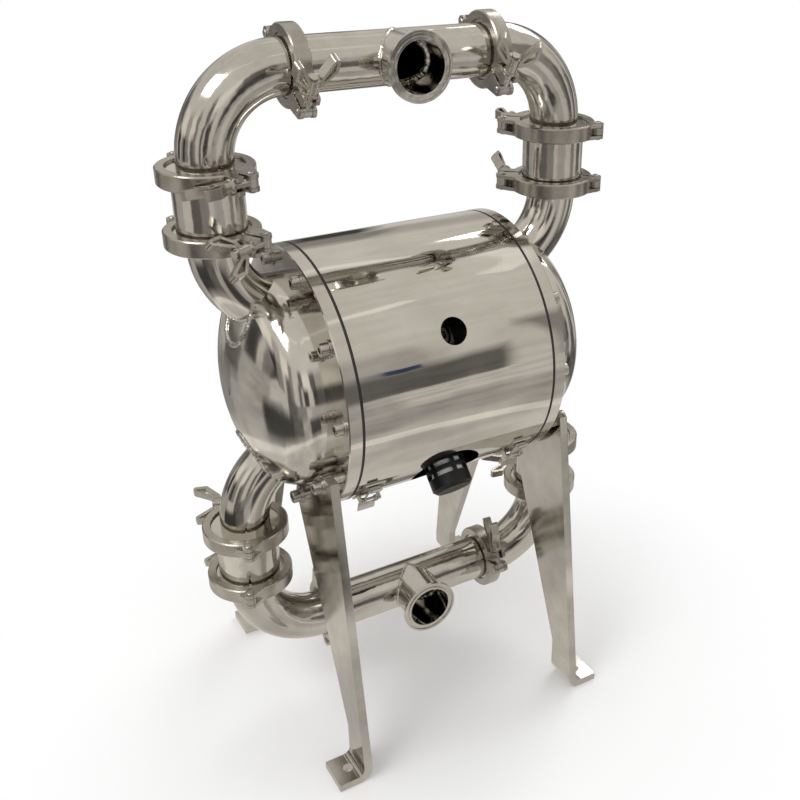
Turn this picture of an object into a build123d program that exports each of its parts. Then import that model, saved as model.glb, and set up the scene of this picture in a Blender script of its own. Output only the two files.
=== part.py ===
from build123d import *
import os
from math import asin, cos, radians, sin, sqrt, tan

# Air operated double diaphragm pump in sanitary pipework, standing on four legs.
# Frame: X along the pump's axis, +Y away from the two ports, +Z up, and the origin
# on the floor midway between the four feet.  All sizes are in millimetres.

# ---- Driving dimensions -----------------------------------------------------

# Places
axis_height = 405.0          # pump axis above the floor
riser_x = 185.0              # riser pipes left and right of the middle
housing_length = 58.0        # from one riser joint to the next, over a valve housing
bend_radius = 76.0           # centre line of every elbow
bend_stub = 9.0              # straight end of an elbow, from bend to joint plane
manifold_joint_x = 101.0     # clamped joint between an elbow and a manifold tee
port_reach = 57.0            # port face in front of its manifold's axis

# Sanitary tube and clamp ferrules
tube_radius = 25.4
tube_wall = 1.3
branch_relief = 0.1          # a tee's pulled branch is this much smaller than its run
housing_radius = 31.75
housing_wall = 1.65
small_rim_radius = 32.0      # ferrule rim of the manifold joints and ports
large_rim_radius = 38.75     # ferrule rim of the riser joints
rim_edge = 2.9               # thickness of a ferrule's rim at its edge
rim_slope = 20.0             # back of the rim, in degrees
gasket_thickness = 2.0
groove_radius = 28.2         # gasket groove in a port's face
groove_width = 3.2
groove_depth = 1.2

# Pump body
body_radius = 134.0          # flanges and shroud
shroud_wall = 1.5
chamber_half_width = 104.5   # sealing face of each air chamber
flange_thickness = 13.0
flange_chamfer = 1.0
head_wall = 3.0
dome_inset = 27.0            # dome's skirt inside the flange's edge
dome_skirt_length = 16.0
knuckle_radius = 32.0
crown_radius = 190.0
screw_count = 10
screw_inset = 13.0           # screw circle inside the flange's edge

# Screws and washers
screw_radius = 4.0
screw_head_radius = 6.5
screw_head_height = 8.0
screw_grip = 13.0            # thread engaged in the air chamber's rim
socket_flats = 6.0
socket_depth = 4.0
washer_radius = 8.5
washer_thickness = 1.6
chamber_screw_radius = 3.0
chamber_screw_circle = 46.0
chamber_screw_count = 6
chamber_screw_length = 24.0

# Air chambers and centre block
chamber_rim_width = 18.0
chamber_wall = 5.0
hub_thickness = 12.0
hub_radius = 62.0
block_half_width = 45.0
block_waist_radius = 54.0
block_end_width = 12.0
shaft_bore_clear = 2.0       # gap between the shaft and a chamber's hub

# Diaphragms, plates and shaft
rim_thickness = 2.5          # diaphragm rim held between flange and chamber
rim_inset = 0.4              # rim edge inside the flange's edge
web_thickness = 3.0
roll_inner_radius = 76.0
roll_outer_radius = 100.0
roll_depth = 6.0
inner_plate_radius = 68.0
inner_plate_thickness = 10.0
outer_plate_radius = 72.0
outer_plate_edge = 4.0
outer_plate_crown = 14.0
shaft_radius = 10.0
stud_radius = 6.0
stud_grip = 9.0
stroke = 12.0                # travel each way from the middle
plate_clear = 1.5            # left between plate and chamber at the end of the stroke
bush_length = 17.0
bush_wall = 4.0
seal_width = 5.0
seal_depth = 5.0

# Air valve
valve_rise = 34.0            # valve bore above the shaft
sleeve_radius = 13.0
sleeve_bore = 9.0
spool_land = 8.0
spool_waist = 6.5
spool_travel = 8.0           # shift each way from the middle
spool_end_room = 3.0         # left at the end of the shift

# Air inlet and exhaust
inlet_angle = 31.0           # above the front horizontal
inlet_hole_radius = 13.75
inlet_mouth_radius = 100.0   # fitting's mouth from the pump axis
inlet_tube_radius = 12.5
inlet_bore_radius = 9.3
air_way_radius = 7.0         # drilling in the centre block behind the fitting
port_boss_radius = 17.0
port_boss_reach = 66.0
fitting_hex_flats = 30.0
fitting_hex_height = 10.0
exhaust_angle = -44.0        # below the front horizontal
exhaust_hole_radius = 37.0
seam_width = 2.0
muffler_radius = 21.5
muffler_wall = 3.5
muffler_start = 84.0         # from the pump axis
muffler_end = 158.0
muffler_neck_radius = 12.0
muffler_end_chamfer = 3.5
element_radius = 16.5
slot_rows = 3
slots_per_row = 6
slot_height = 5.0
slot_width = 17.0
slot_pitch = 9.5
slot_from_end = 17.5

# Legs
leg_thickness = 9.0
leg_gap = 7.0                # spacer between flange and leg
spacer_radius = 9.0
leg_front_y = 163.0          # front edge of a foot
foot_width = 38.0
leg_top_front = (118.0, 345.0)
leg_knee_height = 48.0
leg_bend_inner = 8.0
foot_reach_x = 164.0
foot_hole_inset = 17.0       # hole from the foot's end
foot_hole_radius = 5.5
leg_lobe_radius = 12.0
dome_gap = 5.0               # between the dome's skirt and a leg

# Hinged clamps
clamp_half_width = 7.8
clamp_wall = 5.0             # outside the ferrule's rim
clamp_lip = 4.0              # how far a lip reaches in over the ferrule's rim
clamp_split = 3.0
clamp_chamfer = 1.2
hinge_offset = 3.5           # hinge pin outside the ring
hinge_knuckle_radius = 6.0
bolt_offset = 8.5            # swing bolt outside the ring
bolt_radius = 3.75
bolt_eye_radius = 5.8
bolt_pivot_x = 9.0
bolt_tail = 2.0
fork_reach = 12.0            # seat of the wing nut from the split
fork_slot = 8.2
ear_radius = 6.5
pin_radius = 2.5
pin_head_radius = 3.6
pin_head_height = 1.6
nut_height = 18.0            # barrel of a wing nut
nut_base_radius = 7.2
nut_neck_radius = 6.2
nut_length = 38.0            # from the nut's seat to the tips of its wings
wing_reach = 20.5            # tips from the bolt's axis
wing_width = 9.0             # across the wing, where it is held
wing_rim = 3.2
wing_round = 3.0

# Check valves
ball_radius = 23.5
ball_lift = 9.5
seat_height = 7.0
seat_bore = 18.5
seat_lead = 2.0              # chamfer that the ball beds on
cage_rib_count = 4
cage_rib_thickness = 3.0
cage_stop_inner = 9.0

# Shroud latches
latch_x = 85.0
latch_width = 22.0
latch_plate = 1.5
latch_base_length = 22.0
latch_keeper_length = 14.0
latch_pin_offset = 10.0      # from the seam
latch_pin_height = 6.0
latch_pin_radius = 1.5
latch_lever_length = 21.0
latch_wire_radius = 1.1
latch_eye_radius = 3.0

# Fits and clearances
running_gap = 0.05           # shaft in bush, spool in sleeve, nut on bolt
plain_gap = 0.3              # between curved faces that only pass each other
pin_gap = 0.05
screw_gap = 0.5
thread_gap = 0.1
seat_gap = 0.1

# ---- Sizes that follow ------------------------------------------------------

screw_circle_radius = body_radius - screw_inset
dome_skirt_radius = body_radius - dome_inset
neck_rise = dome_skirt_radius - knuckle_radius
inner_joint_rise = neck_rise + bend_radius + bend_stub
foot_hole_x = foot_reach_x - foot_hole_inset
foot_hole_y = leg_front_y - foot_width / 2
tube_bore = tube_radius - tube_wall
housing_bore = housing_radius - housing_wall
outer_joint_rise = inner_joint_rise + housing_length
manifold_rise = outer_joint_rise + bend_stub + bend_radius
riser_joint_rises = (-outer_joint_rise, -inner_joint_rise, inner_joint_rise, outer_joint_rise)
housing_base_rises = {"lower": -outer_joint_rise, "upper": inner_joint_rise}
half_gasket = gasket_thickness / 2
flange_inner_x = chamber_half_width + rim_thickness
flange_outer_x = flange_inner_x + flange_thickness
knuckle_x = flange_outer_x + dome_skirt_length
crown_centre_x = knuckle_x - sqrt(
    (crown_radius - knuckle_radius) ** 2 - (dome_skirt_radius - knuckle_radius) ** 2
)
leg_inner_x = flange_outer_x + leg_gap
leg_outer_x = leg_inner_x + leg_thickness
screw_step = 360.0 / screw_count
screw_angles = [n * screw_step for n in range(screw_count)]
leg_screw_angles = [a for a in screw_angles if 180 < a % 360 < 360]
plain_screw_angles = [a for a in screw_angles if a not in leg_screw_angles]
screw_seats = ((flange_outer_x, plain_screw_angles), (leg_outer_x, leg_screw_angles))
hub_outer_x = block_half_width + hub_thickness
spool_half_length = block_half_width - spool_travel - spool_end_room
inner_plate_x = chamber_half_width + rim_thickness - web_thickness - inner_plate_thickness
web_inner_x = inner_plate_x + inner_plate_thickness
web_outer_x = web_inner_x + web_thickness
chamber_screw_angles = [n * 360 / chamber_screw_count for n in range(chamber_screw_count)]
chamber_screw_end_x = hub_outer_x - chamber_screw_length
ball_rest_rise = half_gasket + seat_height + sqrt(ball_radius**2 - seat_bore**2) + plain_gap
cage_stop_rise = ball_rest_rise + ball_radius + ball_lift + plain_gap
# The ball beds on the seat's chamfer, a little below the height of a sharp edge.
bedded_rise = ball_radius * sqrt(2) - seat_bore - seat_lead
lead_drop = sqrt(ball_radius**2 - seat_bore**2) - bedded_rise

# ---- Small helpers ----------------------------------------------------------

bottom = (Align.CENTER, Align.CENTER, Align.MIN)


def rod(start, end, radius):
    """Round bar from one point to another."""
    path = Vector(*end) - Vector(*start)
    return Plane(origin=start, z_dir=path) * Cylinder(radius, path.length, align=bottom)


def joined(pieces):
    whole = pieces[0]
    for piece in pieces[1:]:
        whole += piece
    return whole


def cut(whole, pieces):
    for piece in pieces:
        whole -= piece
    return whole


def turned(points, axis=Axis.X):
    """Solid of revolution from (x, radius) points about the pump's axis line through z = 0,
    or from (radius, z) points about Z."""
    return revolve(Plane.XZ * make_face(Polyline(*points, close=True)), axis)


def on_axis(shape):
    """Lift a shape made about X to the pump's axis."""
    return Pos(0, 0, axis_height) * shape


def around_axis(angle, radius, x):
    """Point at an angle above the front horizontal, at a radius from the pump's axis."""
    return (x, -radius * cos(radians(angle)), axis_height + radius * sin(radians(angle)))


def radial_plane(angle, radius=0.0, x=0.0):
    """Plane facing outward along a radius of the pump's axis, with its x along X."""
    direction = (0, -cos(radians(angle)), sin(radians(angle)))
    return Plane(origin=around_axis(angle, radius, x), x_dir=(1, 0, 0), z_dir=direction)


def to_left(shape):
    return shape.mirror(Plane.YZ)


def to_below(shape):
    """Mirror a shape above the pump's axis to the same place below it."""
    return shape.mirror(Plane(origin=(0, 0, axis_height), z_dir=(0, 0, 1)))


def to_front(shape):
    return shape.mirror(Plane.XZ)


def quarter_bend(radius, centre_x, centre_z, start_angle):
    """Quarter torus in the XZ plane, turning from the start angle towards +Z."""
    outward = Vector(cos(radians(start_angle)), 0, sin(radians(start_angle)))
    along = Vector(-sin(radians(start_angle)), 0, cos(radians(start_angle)))
    centre = Vector(centre_x, 0, centre_z)
    section = Plane(origin=centre + outward * bend_radius, z_dir=along) * Circle(radius)
    return revolve(section, Axis(centre, (0, -1, 0)), 90)


def rim_disc(rim_radius, hub):
    """Ferrule rim with its face on z = 0 and its sloped back below, down to a hub radius."""
    back = rim_edge + (rim_radius - hub) * tan(radians(rim_slope))
    profile = [(0, 0), (rim_radius, 0), (rim_radius, -rim_edge), (hub, -back), (0, -back)]
    return turned(profile, Axis.Z)


def ferrule(rim_radius, centre, direction):
    """Ferrule rim whose face looks along a direction."""
    hub = rim_radius - clamp_lip
    return Plane(origin=centre, z_dir=direction) * rim_disc(rim_radius, hub)


def save(name, shapes):
    group = list(shapes) if isinstance(shapes, (list, tuple)) else [shapes]
    solids = [solid for shape in group for solid in shape.solids()]
    export_step(Compound(solids), f"parts/{name}.step")
    print(f"{name}: {len(solids)} solid(s)")


# ---- Pipework ---------------------------------------------------------------


def outer_elbow():
    """Right upper elbow, from the riser joint round to the manifold joint."""
    joint_z = axis_height + outer_joint_rise + half_gasket
    bend_z = axis_height + outer_joint_rise + bend_stub
    bend_x = riser_x - bend_radius
    run_z = bend_z + bend_radius
    joint_x = manifold_joint_x + half_gasket

    def bars(radius):
        return [
            rod((riser_x, 0, joint_z), (riser_x, 0, bend_z), radius),
            quarter_bend(radius, bend_x, bend_z, 0),
            rod((bend_x, 0, run_z), (joint_x, 0, run_z), radius),
        ]

    wall = joined(bars(tube_radius))
    wall += ferrule(large_rim_radius, (riser_x, 0, joint_z), (0, 0, -1))
    wall += ferrule(small_rim_radius, (joint_x, 0, run_z), (-1, 0, 0))
    return cut(wall, bars(tube_bore))


def manifold_tee():
    """Upper manifold: a straight run with a welded branch to the front."""
    z = axis_height + manifold_rise
    end_x = manifold_joint_x - half_gasket

    def bars(radius):
        branch = rod((0, 0, z), (0, -port_reach, z), radius - branch_relief)
        return [rod((-end_x, 0, z), (end_x, 0, z), radius), branch]

    wall = joined(bars(tube_radius))
    wall += ferrule(small_rim_radius, (end_x, 0, z), (1, 0, 0))
    wall += ferrule(small_rim_radius, (-end_x, 0, z), (-1, 0, 0))
    wall += ferrule(small_rim_radius, (0, -port_reach, z), (0, -1, 0))
    groove = Cylinder(groove_radius + groove_width / 2, groove_depth, align=bottom)
    groove -= Cylinder(groove_radius - groove_width / 2, groove_depth, align=bottom)
    face = Plane(origin=(0, -port_reach, z), z_dir=(0, 1, 0))
    return cut(wall, bars(tube_bore)) - face * groove


def head():
    """Right liquid chamber: bolted flange, dished shell and two welded elbows."""

    def dome(inset):
        skirt = dome_skirt_radius - inset
        knuckle = knuckle_radius - inset
        crown = crown_radius - inset
        knuckle_r = dome_skirt_radius - knuckle_radius
        touch = asin(knuckle_r / (crown_radius - knuckle_radius))
        touch_point = (crown_centre_x + crown * cos(touch), crown * sin(touch))
        mid = radians(45)
        mid_point = (knuckle_x + knuckle * sin(mid), knuckle_r + knuckle * cos(mid))
        half = touch / 2
        crown_mid = (crown_centre_x + crown * cos(half), crown * sin(half))
        profile = (
            Line((flange_inner_x, 0), (flange_inner_x, skirt))
            + Line((flange_inner_x, skirt), (knuckle_x, skirt))
            + ThreePointArc((knuckle_x, skirt), mid_point, touch_point)
            + ThreePointArc(touch_point, crown_mid, (crown_centre_x + crown, 0))
            + Line((crown_centre_x + crown, 0), (flange_inner_x, 0))
        )
        return on_axis(revolve(Plane.XZ * make_face(profile), Axis.X))

    bend_x = riser_x - bend_radius
    bend_z = axis_height + inner_joint_rise - bend_stub
    joint_z = axis_height + inner_joint_rise - half_gasket

    def elbow(radius):
        return [
            quarter_bend(radius, bend_x, bend_z, -90),
            rod((riser_x, 0, bend_z), (riser_x, 0, joint_z), radius),
        ]

    rim = ferrule(large_rim_radius, (riser_x, 0, joint_z), (0, 0, 1))
    wall_elbow = joined(elbow(tube_radius)) + rim
    bores = elbow(tube_bore)
    disc = Cylinder(body_radius, flange_thickness, align=bottom)
    disc = chamfer(disc.faces().sort_by(Axis.Z)[-1].edges(), flange_chamfer)
    flange = Pos(flange_inner_x, 0, 0) * Rot(0, 90, 0) * disc
    shell = on_axis(flange) + dome(0) + wall_elbow + to_below(wall_elbow)
    shell = cut(shell - dome(head_wall), bores + [to_below(bore) for bore in bores])
    for angle in screw_angles:
        start = around_axis(angle, screw_circle_radius, flange_inner_x)
        end = around_axis(angle, screw_circle_radius, flange_outer_x)
        shell -= rod(start, end, screw_radius + screw_gap)
    return shell


def riser_gasket():
    ring = Cylinder(large_rim_radius - plain_gap, gasket_thickness)
    return ring - Cylinder(housing_bore, gasket_thickness)


def manifold_gasket():
    ring = Cylinder(small_rim_radius - plain_gap, gasket_thickness)
    return Rot(0, 90, 0) * (ring - Cylinder(tube_bore, gasket_thickness))


def ferrule_gaskets():
    rings = []
    for x in (-riser_x, riser_x):
        for rise in riser_joint_rises:
            rings.append(Pos(x, 0, axis_height + rise) * riser_gasket())
    for x in (-manifold_joint_x, manifold_joint_x):
        for rise in (-manifold_rise, manifold_rise):
            rings.append(Pos(x, 0, axis_height + rise) * manifold_gasket())
    return rings


# ---- Check valves -----------------------------------------------------------


def valve_housing():
    """Flow tube between two riser joints, with the ribs that cage the ball.
    Its lower joint plane is z = 0."""
    low = half_gasket
    high = housing_length - half_gasket
    wall = rod((0, 0, low), (0, 0, high), housing_radius)
    wall += ferrule(large_rim_radius, (0, 0, low), (0, 0, -1))
    wall += ferrule(large_rim_radius, (0, 0, high), (0, 0, 1))
    wall -= rod((0, 0, 0), (0, 0, housing_length), housing_bore)
    guide_inner = ball_radius + 2 * plain_gap
    rib_low = low + seat_height + plain_gap
    outline = [
        (guide_inner, rib_low),
        (housing_bore + housing_wall / 2, rib_low),
        (housing_bore + housing_wall / 2, high),
        (cage_stop_inner, high),
        (cage_stop_inner, cage_stop_rise),
        (guide_inner, cage_stop_rise),
    ]
    rib_face = Plane.XZ * make_face(Polyline(*outline, close=True))
    rib = extrude(rib_face, cage_rib_thickness / 2, both=True)
    for n in range(cage_rib_count):
        wall += Rot(0, 0, 45 + n * 360 / cage_rib_count) * rib
    return wall


def valve_seat():
    """Ring that sits in the foot of a housing, on the ferrule below."""
    outer = housing_bore - plain_gap
    low = -half_gasket
    top = half_gasket + seat_height
    profile = [
        (seat_bore, low),
        (outer, low),
        (outer, top),
        (seat_bore + seat_lead, top),
        (seat_bore, top - seat_lead),
    ]
    return turned(profile, Axis.Z)


def valve_ball():
    return Pos(0, 0, ball_rest_rise - lead_drop) * Sphere(ball_radius)


# ---- Clamps -----------------------------------------------------------------


def layer(sketch, low, high):
    """Both of a pair of plates cut from one outline, from |z| = low to |z| = high."""
    plate = Pos(0, 0, low) * extrude(sketch, high - low)
    return plate + plate.mirror(Plane.XY)


def hull_of(*discs):
    """Outline round a few discs given as (x, y, radius)."""
    edges = ShapeList()
    for x, y, radius in discs:
        edges += (Pos(x, y) * Circle(radius)).edges()
    return make_hull(edges)


def clamp_ring(rim_radius):
    """Whole clamp ring about Z, with a sloped groove round two ferrule rims."""
    outer = rim_radius + clamp_wall
    lip = rim_radius - clamp_lip + 0.5
    bottom_r = rim_radius + 2 * plain_gap
    slope = tan(radians(rim_slope))
    reach = half_gasket + rim_edge + plain_gap
    at_lip = reach + (rim_radius - lip) * slope
    at_bottom = reach - (bottom_r - rim_radius) * slope
    edge = clamp_half_width - clamp_chamfer
    upper = [
        (bottom_r, at_bottom),
        (lip, at_lip),
        (lip, clamp_half_width),
        (outer - clamp_chamfer, clamp_half_width),
        (outer, edge),
    ]
    lower = [(r, -z) for r, z in reversed(upper)]
    return turned(upper + lower, Axis.Z)


def clamp_half(rim_radius, side):
    """Half ring about Z.  side +1 holds the bolt's pivot, side -1 the fork for its nut.
    The hinge is on +Y and the bolt on -Y."""
    outer = rim_radius + clamp_wall
    hinge_y = outer + hinge_offset
    bolt_y = -(outer + bolt_offset)
    half_slot = fork_slot / 2
    size = 3 * outer
    keep = Pos(side * (clamp_split + size) / 2, 0, 0) * Box(size, size, size)
    half = clamp_ring(rim_radius) & keep
    centre_layer = (0, half_slot - 2 * plain_gap)
    side_layers = (half_slot, clamp_half_width)
    own, other = (side_layers, centre_layer) if side > 0 else (centre_layer, side_layers)
    swing = Pos(0, hinge_y) * Circle(hinge_knuckle_radius + plain_gap)
    half -= layer(swing, max(other[0] - plain_gap, 0), other[1] + plain_gap)
    inside = Circle(rim_radius + 2 * plain_gap)
    arm = hull_of((0, hinge_y, hinge_knuckle_radius), (side * 11, outer - 5, 3.5)) - inside
    half += layer(arm, *own)
    if side > 0:
        ear = hull_of((bolt_pivot_x, bolt_y, ear_radius), (17, 8 - outer, 4), (4.2, 5 - outer, 2.5))
    else:
        low = bolt_y - ear_radius
        corners = [
            (-clamp_split / 2, low),
            (-fork_reach, low),
            (-fork_reach, 9 - outer),
            (-clamp_split / 2, 5 - outer),
        ]
        ear = make_face(Polyline(*corners, close=True))
        ear = fillet(ear.vertices().sort_by(Axis.Y)[:2], ear_radius / 2)
    half += layer(ear - inside, *side_layers)
    half -= Pos(0, hinge_y, 0) * Cylinder(pin_radius + pin_gap, size)
    if side > 0:
        half -= Pos(bolt_pivot_x, bolt_y, 0) * Cylinder(pin_radius + pin_gap, size)
    return half


def clamp_pin():
    """Headed pin about Z, as long as a clamp is wide."""
    pin = Cylinder(pin_radius, 2 * clamp_half_width)
    cap = Pos(0, 0, clamp_half_width) * Cylinder(pin_head_radius, pin_head_height, align=bottom)
    cap = chamfer(cap.faces().sort_by(Axis.Z)[-1].edges(), pin_head_height / 2)
    return pin + cap + cap.mirror(Plane.XY)


def clamp_pins(rim_radius):
    outer = rim_radius + clamp_wall
    hinge = Pos(0, outer + hinge_offset, 0) * clamp_pin()
    pivot = Pos(bolt_pivot_x, -(outer + bolt_offset), 0) * clamp_pin()
    return [hinge, pivot]


def swing_bolt(rim_radius):
    """Eye bolt hanging from its pivot pin, along -X through the fork."""
    bolt_y = -(rim_radius + clamp_wall + bolt_offset)
    end_x = -(fork_reach + nut_height + bolt_tail)
    eye = Pos(bolt_pivot_x, bolt_y, 0) * Cylinder(bolt_eye_radius, fork_slot - 2 * seat_gap)
    bolt = eye + rod((bolt_pivot_x, bolt_y, 0), (end_x, bolt_y, 0), bolt_radius)
    return bolt - Pos(bolt_pivot_x, bolt_y, 0) * Cylinder(pin_radius + pin_gap, fork_slot)


def wing_nut(rim_radius, turn):
    """Nut with two open wings, on the swing bolt against the fork, turned about it."""
    bore = bolt_radius + running_gap
    neck = nut_height * 0.2
    hub = turned(
        [
            (bore, 0),
            (nut_base_radius, 0),
            (nut_base_radius, neck / 2),
            (nut_neck_radius, neck),
            (nut_neck_radius, nut_height),
            (bore, nut_height),
        ],
        Axis.Z,
    )
    root = nut_neck_radius * 0.75
    corners = [
        (root, nut_height * 0.55),
        (nut_neck_radius + 2, nut_height * 0.6),
        (wing_reach, nut_length * 0.62),
        (wing_reach, nut_length),
        (wing_reach * 0.72, nut_length),
        (root, nut_height),
    ]
    outline = make_face(Polyline(*corners, close=True))
    window = offset(outline, -wing_rim)
    outline = fillet(outline.vertices().sort_by(Axis.X)[2:], wing_round)
    wing = extrude(Plane.XZ * (outline - window), wing_width / 2, both=True)
    wing -= Cylinder(bore + plain_gap, 3 * nut_length)
    nut = hub + wing + wing.mirror(Plane.YZ)
    bolt_y = -(rim_radius + clamp_wall + bolt_offset)
    seat = Plane(origin=(-fork_reach - seat_gap, bolt_y, 0), z_dir=(-1, 0, 0), x_dir=(0, 0, 1))
    return seat * (Rot(0, 0, turn) * nut)


def clamp_place(centre, hinge_way, nut_way):
    """Where a clamp goes: its hinge and its nut look along the two given directions."""
    x_way = Vector(*nut_way) * -1
    return Location(Plane(origin=centre, x_dir=x_way, z_dir=x_way.cross(Vector(*hinge_way))))


x_plus = (1, 0, 0)


def clamp_list():
    """(name, rim radius, place, turn of the wings) for each of the twelve clamps.
    An angle says where the swing bolt is, round the pipe from the front: towards +X
    on a riser and upwards on a manifold.  The nut looks that way too, or back."""
    left, right = -riser_x, riser_x
    risers = [
        ("upper_left_outer", left, outer_joint_rise, 18, -1, 101),
        ("upper_left_inner", left, inner_joint_rise, 30, -1, 44),
        ("upper_right_outer", right, outer_joint_rise, -136, -1, 90),
        ("upper_right_inner", right, inner_joint_rise, -128, -1, 135),
        ("lower_left_inner", left, -inner_joint_rise, 164, 1, 60),
        ("lower_left_outer", left, -outer_joint_rise, 160, 1, 60),
        ("lower_right_inner", right, -inner_joint_rise, 170, 1, 40),
        ("lower_right_outer", right, -outer_joint_rise, 170, 1, 80),
    ]
    clamps = []
    for name, x, rise, angle, way, turn in risers:
        across, ahead = sin(radians(angle)), cos(radians(angle))
        hinge_way = (-across, ahead, 0)
        nut_way = (way * ahead, way * across, 0)
        place = clamp_place((x, 0, axis_height + rise), hinge_way, nut_way)
        clamps.append((name, large_rim_radius, place, turn))
    manifolds = [
        ("outlet_left", -manifold_joint_x, manifold_rise, -35, 1, 8),
        ("outlet_right", manifold_joint_x, manifold_rise, -32, 1, 151),
        ("inlet_left", -manifold_joint_x, -manifold_rise, 97, -1, 90),
        ("inlet_right", manifold_joint_x, -manifold_rise, 24, 1, 75),
    ]
    for name, x, rise, angle, way, turn in manifolds:
        above, ahead = sin(radians(angle)), cos(radians(angle))
        hinge_way = (0, ahead, -above)
        nut_way = (0, way * above, way * ahead)
        place = clamp_place((x, 0, axis_height + rise), hinge_way, nut_way)
        clamps.append((name, small_rim_radius, place, turn))
    return clamps


def save_clamps():
    halves = []
    pins = []
    bolts = []
    for rim_radius in (large_rim_radius, small_rim_radius):
        pair = [clamp_half(rim_radius, 1), clamp_half(rim_radius, -1)]
        pin_pair = clamp_pins(rim_radius)
        bolt = swing_bolt(rim_radius)
        for name, rim, place, turn in clamp_list():
            if rim == rim_radius:
                halves += [place * half for half in pair]
                pins += [place * pin for pin in pin_pair]
                bolts.append(place * bolt)
                save(f"{name}_wing_nut", place * wing_nut(rim_radius, turn))
    save("clamp_halves", halves)
    save("clamp_pins", pins)
    save("clamp_swing_bolts", bolts)


# ---- Air side ---------------------------------------------------------------


def air_chamber():
    """Right air chamber: rim with tapped holes, dished wall and hub on the centre block."""
    rim_outer = body_radius - shroud_wall - plain_gap
    rim_back = chamber_half_width - chamber_rim_width
    dish_x = inner_plate_x - stroke - plate_clear
    hole = shaft_radius + shaft_bore_clear
    profile = [
        (block_half_width, hole),
        (hub_outer_x, hole),
        (hub_outer_x, hub_radius - 6),
        (dish_x, roll_outer_radius - 2),
        (chamber_half_width, roll_outer_radius + 1),
        (chamber_half_width, rim_outer),
        (rim_back, rim_outer),
        (rim_back, roll_outer_radius + 8),
        (dish_x - chamber_wall, roll_outer_radius + 1),
        (hub_outer_x - chamber_wall, hub_radius),
        (block_half_width, hub_radius),
    ]
    chamber = on_axis(turned(profile))
    depth = screw_grip + 3.0
    for angle in screw_angles:
        start = around_axis(angle, screw_circle_radius, chamber_half_width - depth)
        end = around_axis(angle, screw_circle_radius, chamber_half_width)
        chamber -= rod(start, end, screw_radius + thread_gap)
    for angle in chamber_screw_angles:
        start = around_axis(angle, chamber_screw_circle, block_half_width)
        end = around_axis(angle, chamber_screw_circle, hub_outer_x)
        chamber -= rod(start, end, chamber_screw_radius + screw_gap)
    return chamber


def centre_block():
    """Block that carries the shaft bushes and seals, the air valve and both air ports."""
    waist_x = block_half_width - block_end_width
    profile = [
        (-block_half_width, 0),
        (-block_half_width, hub_radius),
        (-waist_x, hub_radius),
        (-waist_x, block_waist_radius),
        (waist_x, block_waist_radius),
        (waist_x, hub_radius),
        (block_half_width, hub_radius),
        (block_half_width, 0),
    ]
    block = on_axis(turned(profile))
    for angle in (inlet_angle, exhaust_angle):
        block += radial_plane(angle) * Cylinder(port_boss_radius, port_boss_reach, align=bottom)
    bore_radius = shaft_radius + bush_wall
    start = (-block_half_width, 0, axis_height)
    end = (block_half_width, 0, axis_height)
    block -= rod(start, end, bore_radius + seat_gap)
    seal_radius = shaft_radius + seal_depth
    for side in (-1, 1):
        start = (side * (block_half_width - seal_width), 0, axis_height)
        end = (side * block_half_width, 0, axis_height)
        block -= rod(start, end, seal_radius + seat_gap)
    valve_z = axis_height + valve_rise
    start = (-block_half_width, 0, valve_z)
    end = (block_half_width, 0, valve_z)
    block -= rod(start, end, sleeve_radius + seat_gap)
    inlet_drill = Cylinder(air_way_radius, port_boss_reach, align=bottom)
    block -= radial_plane(inlet_angle, bore_radius + 4) * inlet_drill
    exhaust_drill = Cylinder(muffler_neck_radius + thread_gap, port_boss_reach, align=bottom)
    block -= radial_plane(exhaust_angle, bore_radius + 8) * exhaust_drill
    for side in (-1, 1):
        for angle in chamber_screw_angles:
            start = around_axis(angle, chamber_screw_circle, side * (chamber_screw_end_x - 2))
            end = around_axis(angle, chamber_screw_circle, side * block_half_width)
            block -= rod(start, end, chamber_screw_radius + thread_gap)
    return block


def shaft_bushes():
    bushes = []
    for side in (-1, 1):
        outer_x = side * (block_half_width - seal_width - seat_gap)
        inner_x = outer_x - side * bush_length
        start = (inner_x, 0, axis_height)
        end = (outer_x, 0, axis_height)
        bush = rod(start, end, shaft_radius + bush_wall)
        bushes.append(bush - rod(start, end, shaft_radius + running_gap))
    return bushes


def shaft_seals():
    seals = []
    for side in (-1, 1):
        start = (side * (block_half_width - seal_width), 0, axis_height)
        end = (side * block_half_width, 0, axis_height)
        ring = rod(start, end, shaft_radius + seal_depth)
        seals.append(ring - rod(start, end, shaft_radius + running_gap))
    return seals


def air_valve_sleeve():
    z = axis_height + valve_rise
    start = (-block_half_width, 0, z)
    end = (block_half_width, 0, z)
    sleeve = rod(start, end, sleeve_radius) - rod(start, end, sleeve_bore)
    for x in (-20, 0, 20):
        for port in (0, 180):
            hole = Plane(origin=(x, 0, z), x_dir=(1, 0, 0), z_dir=(0, cos(radians(port)), 0))
            sleeve -= hole * Cylinder(3.0, 2 * sleeve_radius, align=bottom)
    return sleeve


def air_valve_spool():
    """Spool with four lands, free to shift along the sleeve."""
    land = sleeve_bore - running_gap
    spool = rod((-spool_half_length, 0, 0), (spool_half_length, 0, 0), spool_waist)
    gap = (2 * spool_half_length - spool_land) / 3
    for n in range(4):
        x = -spool_half_length + n * gap
        spool += rod((x, 0, 0), (x + spool_land, 0, 0), land)
    return Pos(0, 0, axis_height + valve_rise) * spool


def diaphragm_shaft():
    """Shaft with a stud at each end, through both diaphragms."""
    stud_end = web_outer_x + stud_grip
    shaft = rod((-inner_plate_x, 0, 0), (inner_plate_x, 0, 0), shaft_radius)
    shaft += rod((-stud_end, 0, 0), (stud_end, 0, 0), stud_radius)
    return on_axis(shaft)


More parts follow.
